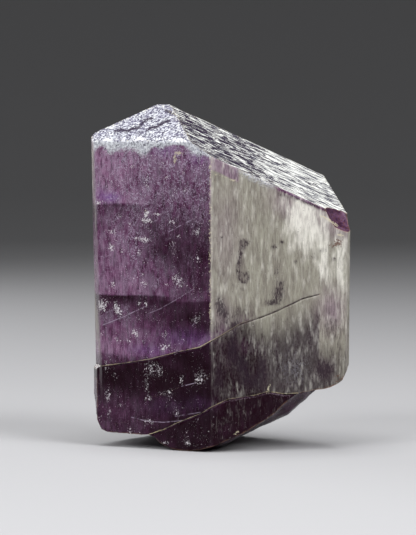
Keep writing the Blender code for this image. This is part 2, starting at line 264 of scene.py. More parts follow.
# Scratches on the front left face in millimetres, across and up, each with its strength.
SCRATCH_WIDTH = 0.1
SCRATCHES = (
    (0.7, (-9.3, 18.6), (-5.8, 20.1), (-2.3, 21.9)),
    (0.45, (-2.3, 20.6), (-0.2, 21.5), (2.4, 23.1), (4.9, 24.7)),
    (0.3, (-9.8, 19.8), (-8.4, 20.7), (-6.6, 21.4)),
    (0.55, (0.9, 33.1), (4.8, 35.2)),
    (0.6, (2.9, 9.8), (5, 10.4)),
    (0.6, (-4.8, 4.7), (-2.3, 4.2), (0.2, 4.2), (2.9, 4.6)),
    (0.35, (1.9, 5.2), (5.7, 6)),
    (0.5, (4.5, 19), (5.1, 19.8)),
)

# Where the front faces meet the pyramid in millimetres: across and up.
TOP_LINE = ((-10.6, 46.75), (4.2, 46.7), (7.2, 44.75), (25.4, 36.4), (28.5, 35))

# How strong the painted reflection on the cracks' lips is, from the left to the right in millimetres.
UPPER_LIP = ((-9.6, 0.65), (4, 0.7), (5.4, 1), (7.3, 1), (8.4, 0.35), (13, 0.2), (14.5, 0))
LOWER_LIP = ((-2.4, 0.8), (7, 0.6), (11, 0.3), (15, 0.9), (20.6, 0.6))

# How far down the front left face the frost reaches, from the left to the right in millimetres.
FROST_REACH = ((-10, 1.5), (-4, 1.6), (-1.5, 2), (0.5, 0.5), (3, 0.6), (4.5, 1.5), (7.2, 0.7))
FROST_SPOTS = ((19.8, 12.4, 3.2, 3.4, 1), (13.6, 17, 2, 2.4, 0.4))
NET_SPOTS = ((-3.2, 33, 4.2, 3.2, 0.5), (-6.8, 20.8, 3.6, 1.6, 0.6))

# How worn the edges are where pairs of faces meet, and all the others.
EDGE_WEAR = {
    ("front_left", "front_right"): 0.75,
    ("front_left", "left"): 0.45,
    ("front_left", "top_front"): 0.0,
    ("front_right", "top_right"): 0.1,
    ("top_front", "top_right"): 0.25,
}
EDGE_WEAR_ELSEWHERE = 0.2

# A distance in millimetres that is out of reach, and what the film's field holds on faces that have none.
FAR = 9.0
NO_FILM = -0.5

# The floor's section in metres, out from the middle and up: level, and rising far behind the crystal.
FLOOR_PROFILE = (
    (0, 0), (0.2, 0), (0.5, 0), (0.9, 0), (1.1, 0.016), (1.3, 0.07), (1.5, 0.17), (1.7, 0.33), (1.85, 0.52),
    (1.95, 0.75), (2, 1),
)
FLOOR_STEPS = 96
FLOOR_ROUGHNESS = 0.7

# What the lights face, and each soft light's name, place, width and height in metres, and watts.
LIT = (0, 0, 0.026)
LIGHTS = (
    ("key_right", (0.30, -0.30, 0.34), (0.26, 0.26), 3.2),
    ("top", (-0.03, -0.02, 0.52), (0.34, 0.34), 3.1),
    ("fill_left", (-0.30, -0.38, 0.34), (0.3, 0.3), 2.6),
    ("back_left", (-0.36, 0.36, 0.16), (0.3, 0.2), 1.3),
)

# The camera: what it looks at and its sensor in millimetres, its focal length and its image in pixels.
CAMERA_TARGET = (-1.84, -16.25, 27.87)
SENSOR = 36
FOCAL_PIXELS = 3200
IMAGE_HEIGHT = 535

# How much of a drawn line's reach is solid.
LINE_CORE = 0.4


class Graph:
    """Short ways to add to a tree of shader or geometry nodes."""

    def __init__(self, tree):
        self.tree = tree
        self.known = {}

    def put(self, socket, value):
        """Joins a socket to another, or gives it a plain value."""
        if isinstance(value, bpy.types.NodeSocket):
            self.tree.links.new(value, socket)
        elif value is not None:
            socket.default_value = value

    def add(self, kind, inputs=None, **settings):
        """Adds a node with its settings, and its inputs by name or number."""
        made = self.tree.nodes.new(kind)
        for key, value in settings.items():
            setattr(made, key, value)
        for key, value in (inputs or {}).items():
            self.put(made.inputs[key], value)
        return made

    def math(self, operation, *values):
        """One sum on plain numbers or sockets."""
        return self.add("ShaderNodeMath", dict(enumerate(values)), operation=operation).outputs[0]

    def vector_math(self, operation, *values):
        """One sum on vectors."""
        return self.add("ShaderNodeVectorMath", dict(enumerate(values)), operation=operation).outputs[0]

    def dot(self, first, second):
        """How far one vector goes along another."""
        made = self.add("ShaderNodeVectorMath", {0: first, 1: second}, operation="DOT_PRODUCT")
        return made.outputs["Value"]

    def scaled(self, vector, factor):
        """A vector made longer or shorter."""
        made = self.add("ShaderNodeVectorMath", {"Vector": vector, "Scale": factor}, operation="SCALE")
        return made.outputs[0]

    def step(self, value, low, high, start=0.0, end=1.0):
        """Goes smoothly from start to end while value goes from low to high."""
        inputs = {"Value": value, "From Min": low, "From Max": high, "To Min": start, "To Max": end}
        made = self.add("ShaderNodeMapRange", inputs, interpolation_type="SMOOTHSTEP")
        return made.outputs[0]

    def line(self, distance, reach):
        """A line that is solid in its core and fades out at its reach."""
        return self.step(distance, self.math("MULTIPLY", reach, LINE_CORE), reach, 1.0, 0.0)

    def mix(self, share, first, second):
        """A colour between two."""
        return self.add("ShaderNodeMix", {0: share, 6: first, 7: second}, data_type="RGBA").outputs[2]

    def ramp(self, value, stops):
        """A colour that follows a value through some stops."""
        made = self.add("ShaderNodeValToRGB", {0: value})
        points = made.color_ramp.elements
        for _ in stops[2:]:
            points.new(0.5)
        for point, (place, paint) in zip(points, stops):
            point.position = place
            point.color = paint
        return made.outputs[0]

    def noise(self, vector, scale=1.0, detail=2.0, roughness=0.5, distortion=0.0):
        """Smooth noise around a half."""
        inputs = {"Vector": vector, "Scale": scale, "Detail": detail, "Roughness": roughness}
        return self.add("ShaderNodeTexNoise", {**inputs, "Distortion": distortion}).outputs[0]

    def attribute(self, name):
        """A number that the mesh carries, read by one node."""
        if name not in self.known:
            self.known[name] = self.add("ShaderNodeAttribute", attribute_name=name).outputs["Fac"]
        return self.known[name]

    def group(self, tree, **inputs):
        """Places a node group. An underscore in an input's name stands for a space."""
        made = self.add("ShaderNodeGroup", node_tree=tree)
        for key, value in inputs.items():
            self.put(made.inputs[key.replace("_", " ")], value)
        return made.outputs[0]


def new_group(name, kind, inputs, output):
    """An empty node group with one output and named inputs, each given by its default or its socket type."""
    tree = bpy.data.node_groups.new(name, kind)
    for label, given in inputs.items():
        plain = "NodeSocketVector" if isinstance(given, tuple) else "NodeSocketFloat"
        socket = given if isinstance(given, str) else plain
        made = tree.interface.new_socket(label, in_out="INPUT", socket_type=socket)
        if given is not socket:
            made.default_value = given
    tree.interface.new_socket(output[0], in_out="OUTPUT", socket_type=output[1])
    graph = Graph(tree)
    entry = graph.add("NodeGroupInput")
    return graph, entry.outputs, graph.add("NodeGroupOutput").inputs[0]


def mask_group(name, **inputs):
    """An empty shader group that reads a place and some named numbers, and puts out a mask."""
    return new_group(name, "ShaderNodeTree", {"Vector": (0, 0, 0), **inputs}, ("Mask", "NodeSocketFloat"))


def growth_group():
    """Grain that spreads with the amount, or streaks where the length is more than the width."""
    graph, given, result = mask_group(
        "growth", Along=(0, 0, 1), Width=0.3 * MM, Length=0.3 * MM, Amount=0.0, Low=0.4, High=0.6
    )
    along = graph.scaled(given["Along"], graph.dot(given["Vector"], given["Along"]))
    across = graph.vector_math("SUBTRACT", given["Vector"], along)
    long_part = graph.scaled(along, graph.math("DIVIDE", 1.0, given["Length"]))
    wide_part = graph.scaled(across, graph.math("DIVIDE", 1.0, given["Width"]))
    grain = graph.noise(graph.vector_math("ADD", long_part, wide_part), detail=3.0, roughness=0.55)
    grown = graph.math("ADD", grain, given["Amount"])
    graph.put(result, graph.step(grown, given["Low"], given["High"]))
    return graph.tree


def filaments_group():
    """A net of thin curly lines, thicker where the amount is high."""
    graph, given, result = mask_group("filaments", Size=1.0 * MM, Amount=0.5)
    sample = graph.scaled(given["Vector"], graph.math("DIVIDE", 1.0, given["Size"]))
    line = graph.math("ABSOLUTE", graph.math("SUBTRACT", graph.noise(sample, distortion=1.2), 0.5))
    width = graph.math("MULTIPLY_ADD", given["Amount"], 0.03, 0.014)
    thin = graph.step(line, 0.0, width, 1.0, 0.0)
    patch = graph.noise(graph.vector_math("ADD", sample, (31.0, 7.0, 19.0)), scale=0.7, detail=1.0)
    here = graph.step(graph.math("MULTIPLY_ADD", given["Amount"], 0.3, patch), 0.48, 0.66)
    graph.put(result, graph.math("MULTIPLY", thin, here))
    return graph.tree


def scratch_group():
    """One straight scratch between two places."""
    graph, given, result = mask_group("scratch", Start=(0, 0, 0), Way=(0, 0, 1), Width=0.1 * MM)
    offset = graph.vector_math("SUBTRACT", given["Vector"], given["Start"])
    way = given["Way"]
    share = graph.math("DIVIDE", graph.dot(offset, way), graph.dot(way, way))
    share = graph.add("ShaderNodeClamp", {0: share}).outputs[0]
    away = graph.vector_math("SUBTRACT", offset, graph.scaled(way, share))
    graph.put(result, graph.line(graph.math("SQRT", graph.dot(away, away)), given["Width"]))
    return graph.tree


def wear_group():
    """A line along an edge that knocks have frosted, broken up unevenly."""
    graph, given, result = mask_group("wear", Distance=1.0, Width=0.3, Breaks=0.5)
    rough = graph.noise(given["Vector"], scale=1 / (1.3 * MM), detail=4.0, roughness=0.65)
    uneven = graph.step(rough, 0.36, 0.62, graph.math("SUBTRACT", 1.0, given["Breaks"]), 1.0)
    reach = graph.math("MULTIPLY", given["Width"], uneven)
    graph.put(result, graph.line(graph.math("ABSOLUTE", given["Distance"]), reach))
    return graph.tree


def etching_tree():
    """The relief, which only goes in: growth lines on the prism, and grain on frosted and broken faces."""
    inputs = {
        "Geometry": "NodeSocketGeometry",
        "Material": "NodeSocketMaterial",
        "Line Depth": 0.05 * MM,
        "Line Width": 0.75 * MM,
        "Line Length": 7 * MM,
        "Grain Depth": 0.1 * MM,
        "Grain Size": 0.7 * MM,
        "Seed": 3.0,
    }
    output = ("Geometry", "NodeSocketGeometry")
    graph, given, result = new_group("etching", "GeometryNodeTree", inputs, output)
    place = graph.add("GeometryNodeInputPosition").outputs[0]
    width = graph.math("DIVIDE", 1.0, given["Line Width"])
    length = graph.math("DIVIDE", 1.0, given["Line Length"])
    stretch = graph.add("ShaderNodeCombineXYZ", {0: width, 1: width, 2: length}).outputs[0]
    seed = graph.add("ShaderNodeCombineXYZ", {0: given["Seed"], 1: given["Seed"]}).outputs[0]
    lines = graph.noise(graph.vector_math("MULTIPLY_ADD", place, stretch, seed), detail=3.0)
    grain_size = graph.math("DIVIDE", 1.0, given["Grain Size"])
    grain = graph.noise(graph.vector_math("ADD", graph.scaled(place, grain_size), seed), detail=3.0)
    lines = graph.math("MULTIPLY", graph.step(lines, 0.35, 0.65), given["Line Depth"])
    grain = graph.math("MULTIPLY", graph.step(grain, 0.35, 0.65), given["Grain Depth"])
    named = {
        name: graph.add("GeometryNodeInputNamedAttribute", {"Name": name}, data_type="FLOAT").outputs[0]
        for name in ("lined", "grained")
    }
    depth = graph.math("MULTIPLY_ADD", named["lined"], lines, graph.math("MULTIPLY", named["grained"], grain))
    normal = graph.add("GeometryNodeInputNormal").outputs[0]
    offset = graph.scaled(normal, graph.math("MULTIPLY", depth, -1.0))
    moved = graph.add("GeometryNodeSetPosition", {"Geometry": given["Geometry"], "Offset": offset})
    real = graph.add("GeometryNodeRealizeInstances", {"Geometry": moved.outputs[0]})
    finish = {"Geometry": real.outputs[0], "Material": given["Material"]}
    graph.put(result, graph.add("GeometryNodeSetMaterial", finish).outputs[0])
    return graph.tree


def outward(name):
    """The way that a flat face of the crystal looks."""
    angle = TURN + (PRISM | PYRAMID)[name] * EIGHTH_TURN
    level = Vector((math.sin(angle), -math.cos(angle), 0.0))
    if name in PRISM:
        return level
    return level * math.sin(SLOPE) + Vector((0, 0, math.cos(SLOPE)))


def merged_facets(node):
    """The frame's crystal with its triangles merged into its flat facets."""
    bm = bmesh.new()
    bm.from_mesh(node.data)
    bmesh.ops.remove_doubles(bm, verts=bm.verts[:], dist=MERGE_DISTANCE)
    bmesh.ops.dissolve_limit(bm, angle_limit=FLAT_ANGLE, verts=bm.verts[:], edges=bm.edges[:])
    return bm


def crystal_planes(bm):
    """Each flat face's outward normal and distance, measured on its largest facet."""
    planes = {}
    for name in (*PRISM, *PYRAMID):
        way = outward(name)
        if name in STRIATED_FACES:
            planes[name] = (way, max(vert.co.dot(way) for vert in bm.verts))
            continue
        alike = [face for face in bm.faces if face.normal.dot(way) > FACE_SPREAD]
        facet = max(alike, key=lambda face: face.calc_area())
        planes[name] = (facet.normal.copy(), facet.calc_center_median().dot(facet.normal))
    return planes


def c_axis(bm):
    """Where the c axis stands: under the middle of the ridge."""
    top = max(vert.co.z for vert in bm.verts)
    ridge = [vert.co for vert in bm.verts if vert.co.z > top - RIDGE_DROP]
    axis = sum(ridge, Vector()) / len(ridge)
    axis.z = 0.0
    return axis


def face_names(centres, normals, planes):
    """Which flat face each facet belongs to, or else broken."""
    nearest = np.full(len(centres), FACE_DEPTH)
    names = np.full(len(centres), "broken", dtype="<U12")
    for name, (way, distance) in planes.items():
        spread = TERRACE_SPREAD if name in STRIATED_FACES else FACE_SPREAD
        off = np.abs(centres @ np.array(way) - distance)
        here = (normals @ np.array(way) > spread) & (off < nearest)
        names[here] = name
        nearest[here] = off[here]
    return names


def fill_facet(bm, facet, first, cell):
    """Fills a flat facet with small triangles, from its outline and a grid of points inside it."""
    second = facet.normal.cross(first).normalized()
    first = second.cross(facet.normal)
    verts = facet.verts[:]
    middle = facet.calc_center_median()
    frame_axes = np.array([first, second])
    outline = np.array([vert.co - middle for vert in verts]) @ frame_axes.T / cell
    low, high = outline.min(axis=0), outline.max(axis=0)
    sides = [np.arange(math.ceil(start), end) for start, end in zip(low, high)]
    grid = np.stack(np.meshgrid(*sides), axis=-1).reshape(-1, 2).astype(float)
    grid[:, 0] += 0.5 * (grid[:, 1] % 2)
    if len(grid):
        away = ((grid[:, None] - outline[None]) ** 2).sum(axis=2).min(axis=1)
        grid = grid[away > GRID_MARGIN**2]
    points = [Vector(point) for point in (*outline, *grid)]
    found = delaunay_2d_cdt(points, [], [list(range(len(verts)))], 1, 1e-6)
    places, _, triangles, origins = found[:4]
    bm.faces.remove(facet)
    known = {}
    for triangle in triangles:
        corners_of = []
        for number in triangle:
            if number not in known:
                outer = [origin for origin in origins[number] if origin < len(verts)]
                across, up = places[number] * cell
                inner = middle + first * across + second * up
                known[number] = verts[outer[0]] if outer else bm.verts.new(inner)
            corners_of.append(known[number])
        if len(set(corners_of)) == 3:
            bm.faces.new(corners_of)


def cut_into_cells(bm, planes, settings):
    """Cuts every facet into cells, small on the faces in front and larger on the others."""
    by_count = {}
    for edge in bm.edges:
        by_count.setdefault(int(edge.calc_length() / settings.fine_cell), []).append(edge)
    for count, edges in by_count.items():
        if count:
            bmesh.ops.bisect_edges(bm, edges=edges, cuts=count)
    faces = bm.faces[:]
    centres = np.array([face.calc_center_median() for face in faces])
    normals = np.array([face.normal for face in faces])
    for face, name in zip(faces, face_names(centres, normals, planes)):
        cell = settings.fine_cell if name in SEEN_FACES else settings.coarse_cell
        fill_facet(bm, face, face.normal.orthogonal() if name == "broken" else Vector((0, 0, 1)), cell)
    bm.normal_update()


def read(items, key, kind, width=1):
    """One number or vector for each item of a mesh."""
    values = np.empty(width * len(items), dtype=kind)
    items.foreach_get(key, values)
    return values.reshape(-1, width) if width > 1 else values


def name_faces(mesh, planes):
    """Writes which flat face each small face belongs to, while they are still flat."""
    centres = read(mesh.polygons, "center", float, 3)
    normals = read(mesh.polygons, "normal", float, 3)
    names = list(face_names(centres, normals, planes))
    made = mesh.attributes.new("habit", "INT", "FACE")
    made.data.foreach_set("value", [HABIT.index(name) for name in names])


def corners(mesh):
    """The place of each face corner in millimetres, its vertex, and its face's name."""
    index = read(mesh.loops, "vertex_index", int)
    places = read(mesh.vertices, "co", float, 3)[index] / MM
    names = np.array(HABIT)[read(mesh.attributes["habit"].data, "value", int)]
    return places, index, np.repeat(names, read(mesh.polygons, "loop_total", int))


def store(mesh, name, values):
    """Writes one number for each face corner."""
    made = mesh.attributes.new(name, "FLOAT", "CORNER")
    made.data.foreach_set("value", np.asarray(values, dtype=np.float32))


def blend(value, low, high):
    """Goes smoothly from 0 to 1 while value goes from low to high."""
    share = np.clip((value - low) / (high - low), 0, 1)
    return share * share * (3 - 2 * share)


def swell(places, length, seed):
    """Broad waves over the crystal, from about -1 to 1."""
    random = np.random.default_rng(seed)
    total = np.zeros(len(places))
    for _ in range(5):
        way = random.normal(size=3)
        way *= random.uniform(0.7, 1.5) / np.linalg.norm(way)
        total += np.sin(2 * np.pi * places @ way / length + random.uniform(0, 2 * np.pi))
    return total / 2.5


def spots(places, table):
    """Soft spots, as seen from the front: across, up, half width, half height and strength of each."""
    total = np.zeros(len(places))
    for across, up, wide, high, strength in table:
        away = ((places[:, 0] - across) / wide) ** 2 + ((places[:, 2] - up) / high) ** 2
        total += strength * np.exp(-away)
    return total


def line_distance(places, line):
    """How far places are from a line, as seen from the front."""
    here = places[:, (0, 2)]
    nearest = np.full(len(places), np.inf)
    for start, end in zip(line, line[1:]):
        start, way = np.array(start), np.subtract(end, start)
        share = np.clip((here - start) @ way / (way @ way), 0, 1)
        nearest = np.minimum(nearest, np.linalg.norm(here - start - share[:, None] * way, axis=1))
    return nearest


def near_lines(places, table, width):
    """How strongly lines show, as seen from the front: strength and points of each."""
    total = np.zeros(len(places))
    for strength, *line in table:
        total += strength * np.exp(-((line_distance(places, line) / width) ** 2))
    return total


def follow(values, profile):
    """What a profile gives for each value."""
    return np.interp(values, *zip(*profile))


def over_line(places, line):
    """Height over a crack's line on the front faces."""
    return places[:, 2] - follow(places[:, 0], line)


def over_upper_crack(places):
    """Height over the upper crack, which goes into the crystal from its line and rises towards the back."""
    inwards = np.maximum(0.0, places[:, 1] - follow(places[:, 0], FRONT_DEPTH))
    return over_line(places, UPPER_CRACK) - UPPER_CRACK_RISE * inwards


def under_top(places):
    """How far down the front faces a place is from the pyramid."""
    return -over_line(places, TOP_LINE)


def light_amount(places):
    """How light the purple is: in level zones, as a crystal that grew in stages has them, with a strip of
    painted light on the upper crack, painted shadow under it, and painted shade on the front right face below
    it.
    """
    up = places[:, 2] + 0.15 * swell(places, 9, 4)
    high = blend(up, 27, 31)
    drift = places[:, 0] + 0.8 * swell(places, 8, 5)
    share = (1 - high) * blend(drift, -7.0, 4.5) + high * blend(drift, -6.0, -0.5)
    light = follow(up, LIGHT_LEFT) * (1 - share) + follow(up, LIGHT_RIGHT) * share
    over = over_upper_crack(places)
    # Painted light on the upper crack, painted shadow under it, and painted shade on the front right face
    # below it.
    painted_light_strip = (over > 0) * (1 - blend(over, 0, STRIP_HEIGHT)) * blend(places[:, 0], -6, 2)
    shadow = np.where(over > 0, 1.0, 0.1 + 0.9 * blend(-over, 0.2, SHADOW_DEPTH))
    painted_shade_right = 1 - 0.65 * blend(places[:, 0], 7.0, 8.5) * blend(-over, -1.0, 1.0)
    return np.clip((light + STRIP_LIGHT * painted_light_strip) * shadow * painted_shade_right + 0.02 * swell(places, 4, 6), 0, 1)


def edge_fields(places, planes):
    """How far each corner is from the nearest edge in millimetres, and how worn that edge is."""
    names = list(planes)
    away = np.array([distance / MM - places @ np.array(way) for way, distance in planes.values()])
    order = np.argsort(np.abs(away), axis=0)[:2]
    distance = np.abs(away[order[1], np.arange(len(places))])
    worn = np.full(len(places), EDGE_WEAR_ELSEWHERE)
    for (first, second), amount in EDGE_WEAR.items():
        pair = {names.index(first), names.index(second)}
        here = np.isin(order[0], list(pair)) & np.isin(order[1], list(pair))
        worn[here] = amount
    return distance, worn


def rim_distance(places, index, broken):
    """How far each corner is from where a break meets a flat face, in millimetres."""
    count = index.max() + 1
    rough, flat = np.zeros(count, dtype=bool), np.zeros(count, dtype=bool)
    rough[index[broken]] = True
    flat[index[~broken]] = True
    joined = np.zeros((count, 3))
    joined[index] = places
    rim = joined[rough & flat]
    tree = KDTree(len(rim))
    for number, place in enumerate(rim):
        tree.insert(place, number)
    tree.balance()
    return np.array([tree.find(place)[2] for place in joined])[index]


def film_amount(names, places):
    """How much grey frosted film lies on the glassy faces. On the front right face its pale grey is partly
    painted sheen, which fades under the upper crack.
    """
    over = over_upper_crack(places)
    across, drop = places[:, 0], under_top(places)
    patch = swell(places, 5.5, 8)
    above = 0.95 - 0.4 * (1 - blend(over, 0.5, 5)) * (1 - blend(across, 11, 15))
    below = 0.36 + 0.36 * blend(across, 14, 17)
    front = below + (above - below) * blend(over, -1.5 - 4 * blend(across, 11, 15), 0.6)
    front -= 0.9 * (1 - blend(drop, 0.3, 1.0)) * blend(across, 16, 18)
    under_lower = (across < LOWER_CRACK[-1][0]) & (over_line(places, LOWER_CRACK) < 0)
    front = np.where(under_lower, 0.1, front)
    tall = places * (1, 1, 0.4)
    hidden = 0.5 + 0.4 * swell(tall, 9, 9) + 0.2 * swell(tall, 3.5, 18)
    hidden = np.where(names == "right_bevel", 0.75 + 0.1 * patch, hidden)
    hidden -= 0.4 * (names == "left")
    amount = np.where(names == "front_right", front + 0.05 * patch, hidden)
    bare = np.isin(names, [*PYRAMID, "front_left", "broken"])
    return np.where(bare, NO_FILM, np.clip(amount, 0, 1))


def blush_amount(places):
    """How pink the film on the front right face is: under its top edge, and low at its right."""
    across, drop = places[:, 0], under_top(places)
    band = (1 - blend(drop, 2.0, 2.2)) * (1 - blend(across, 11.2, 11.7))
    right = 0.5 * (1 - blend(drop, 2.5, 6.0)) * blend(across, 14, 19)
    return np.clip(band + right + spots(places, BLUSH_SPOTS), 0, 1)


def fleck_amount(names, places):
    """How thick the white flecks lie: in columns and spots on the front left face, and thinly elsewhere."""
    amount = 0.2 + 0.12 * swell(places, 4, 12)
    for place, width in FLECK_COLUMNS:
        amount += 0.12 * np.exp(-(((places[:, 0] - place) / width) ** 2))
    amount += spots(places, FLECKS)
    elsewhere = 0.12 + 0.08 * swell(places, 7, 13)
    return np.clip(np.where(names == "front_left", amount, elsewhere), 0, 1.2)


def frost_amount(names, places):
    """How much white frost there is: all over two pyramid faces, and fading down the faces under them."""
    across, drop = places[:, 0], under_top(places)
    reach = (1.6 + 0.5 * swell(places, 3, 16)) * follow(across, FROST_REACH)
    left = 1.05 * (1 - blend(drop, 0.0, reach)) ** 0.8
    right = 0.55 * (1 - blend(drop, 0.4, 1.8)) * blend(across, 10, 12.5) * (1 - blend(across, 16, 18))
    right += 0.26 * spots(places, FROST_SPOTS)
    hidden = 0.55 * (1 - blend(np.abs(drop), 0.0, 1.5))
    fronts = np.where(names == "front_left", left, np.where(names == "front_right", right, hidden))
    return np.where(np.isin(names, FROSTED_FACES), 1.2, np.clip(fronts, 0, 1) * (names != "broken"))


def net_amount(names, places):
    """How much of a net of pale filaments there is on the glassy faces."""
    drop = under_top(places)
    left = 1.0 - 0.5 * blend(drop, 7, 17) - 0.3 * blend(drop, 19, 28) + 0.3 * swell(places, 4, 14)
    left *= 0.6 + 0.4 * blend(places[:, 0], -9.5, -4)
    left += spots(places, NET_SPOTS)
    return np.clip(np.where(names == "front_left", left, 0.2), 0, 1) * (names != "broken")


def write_surface(mesh, planes, axis):
    """Writes on the mesh all that the crystal's material reads."""
    places, index, names = corners(mesh)
    distance, worn = edge_fields(places, planes)
    broken = names == "broken"
    rim = rim_distance(places, index, broken)
    places = places - np.array(axis) / MM
    across, up = places[:, 0], places[:, 2]
    left, right, top = names == "front_left", names == "front_right", names == "top_front"
    front = left | right | broken & (places[:, 1] < -3.5)

    upper, lower = over_line(places, UPPER_CRACK), over_line(places, LOWER_CRACK)
    upper[~front | (across > UPPER_CRACK[-1][0])] = FAR
    lower[~front | (across < LOWER_CRACK[0][0]) | (across > LOWER_CRACK[-1][0])] = FAR
    near_upper = np.abs(upper) < np.abs(lower)
    near_front_edge = np.abs(across - FRONT_EDGE)
    front_edge = np.exp(-((near_front_edge / 0.4) ** 2)) * (left | right)
    near_crack = np.minimum(np.abs(upper), np.abs(lower)) < CRACK_REACH
    walls = broken & (np.abs(upper) < CRACK_REACH) & (across > 7.5)
    knocked = np.where(near_front_edge < 1.0, 0.03 + 0.97 * blend(up, 14, 21), blend(up, 6, 15))
    fields = {
        "light": light_amount(places),
        "violet": spots(places, VIOLET_SPOTS) * front,
        "film": np.where(walls, 0.6, film_amount(names, places)),
        "shine": spots(places, PAINTED_HIGHLIGHT_SPOTS) * right,
        "blush": blush_amount(places) * right,
        "frost": frost_amount(names, places),
        "net": net_amount(names, places),
        "flecks": fleck_amount(names, places),
        "crack": np.where(near_upper, upper, lower),
        "lip_glint": np.where(near_upper, follow(across, UPPER_LIP), follow(across, LOWER_LIP)),
        "edge": distance,
        "worn": worn * knocked,
        "rim": np.where(near_crack, FAR, rim),
        "stain": spots(places, STAIN_SPOTS) * front + np.where(broken, 0.55, 0.0) * blend(across, 4, 9),
        "striated": np.isin(names, STRIATED_FACES),
        "broken": np.where(walls, 0.2, broken),
        "across": across,
    }
    smeared = spots(places, DARK_SPOTS) + near_lines(places, SMEARS, SMEAR_WIDTH)
    fields["marks"] = smeared * right + near_lines(places, GROOVES, GROOVE_WIDTH) * top
    cream = spots(places, CREAM_SPOTS) * left + 0.55 * front_edge * blend(up, 12, 20)
    cream += near_lines(places, CREAM_LINES, CREAM_WIDTH) * (front & ~left)
    ridge_edge = np.exp(-((distance / 1.1) ** 2)) * np.isin(names, list(PYRAMID))
    fields["cream"] = np.clip(cream + 0.45 * ridge_edge, 0, 1)
    fields["patches"] = spots(places, PATCHES) * (top | left)
    gaps = 0.75 - 0.6 * blend(across, 12.0, 19.0) - 0.35 * blend(over_line(places, TOP_LINE), 3.4, 5.4)
    fields["gaps"] = np.where(names == "top_right", gaps + 0.12 * swell(places, 5, 15), 0.3)
    # Painted shade on the front right face and the breaks: under the upper crack and towards the bottom.
    reach = blend(across, 11, 16)
    under = (1 - blend(upper, -3.0 - 3.0 * reach, 4.3 - 4.0 * reach)) * (upper < FAR)
    low = 1 - blend(up, 11.5 + 0.6 * swell(places, 5, 17), 17.5)
    fields["painted_film_shade"] = np.maximum(under, low * (1 - 0.45 * blend(across, 25.5, 27))) * (right | broken)
    for name, values in fields.items():
        store(mesh, name, values)


def write_relief(mesh, planes):
    """Writes where the relief goes: not on the edges, so that they stay straight."""
    places, _, names = corners(mesh)
    inner = blend(edge_fields(places, planes)[0], 0.05, 0.5)
    grained = np.isin(names, FROSTED_FACES) * 1.0 + np.isin(names, STRIATED_FACES) * 0.5
    grained = np.where(names == "broken", blend(places[:, 2], 0.3, 1.0) * 0.6, grained * inner)
    lined = np.where(np.isin(names, [*PYRAMID, "broken"]), 0.0, inner)
    store(mesh, "grained", grained)
    store(mesh, "lined", lined)


def etched(crystal, material, settings):
    """Runs the etching tree on the crystal and keeps the plain mesh."""
    tree = etching_tree()
    relief = crystal.modifiers.new("etching", "NODES")
    relief.node_group = tree
    values = {
        "Material": material,
        "Line Depth": settings.line_depth,
        "Grain Depth": settings.grain_depth,
        "Seed": float(settings.seed),
    }
    for item in tree.interface.items_tree:
        if item.item_type == "SOCKET" and item.name in values:
            relief[item.identifier] = values[item.name]
    graph = bpy.context.evaluated_depsgraph_get()
    mesh = bpy.data.meshes.new_from_object(crystal.evaluated_get(graph))
    crystal.modifiers.remove(relief)
    return mesh


def scratches(graph, vector, plane, axis):
    """All the scratches on the front left face as one mask. The plane and the axis give their places."""
    group = scratch_group()
    way, distance = plane
    total = 0.0
    for strength, *line in SCRATCHES:
        points = []
        for across, up in line:
            x, z = axis.x + across * MM, up * MM
            points.append(Vector((x, (distance - way.x * x - way.z * z) / way.y, z)))
        for start, end in zip(points, points[1:]):
            mark = graph.group(group, Vector=vector, Start=start, Way=end - start, Width=SCRATCH_WIDTH * MM)
            total = graph.math("MAXIMUM", total, graph.math("MULTIPLY", mark, strength))
    return total


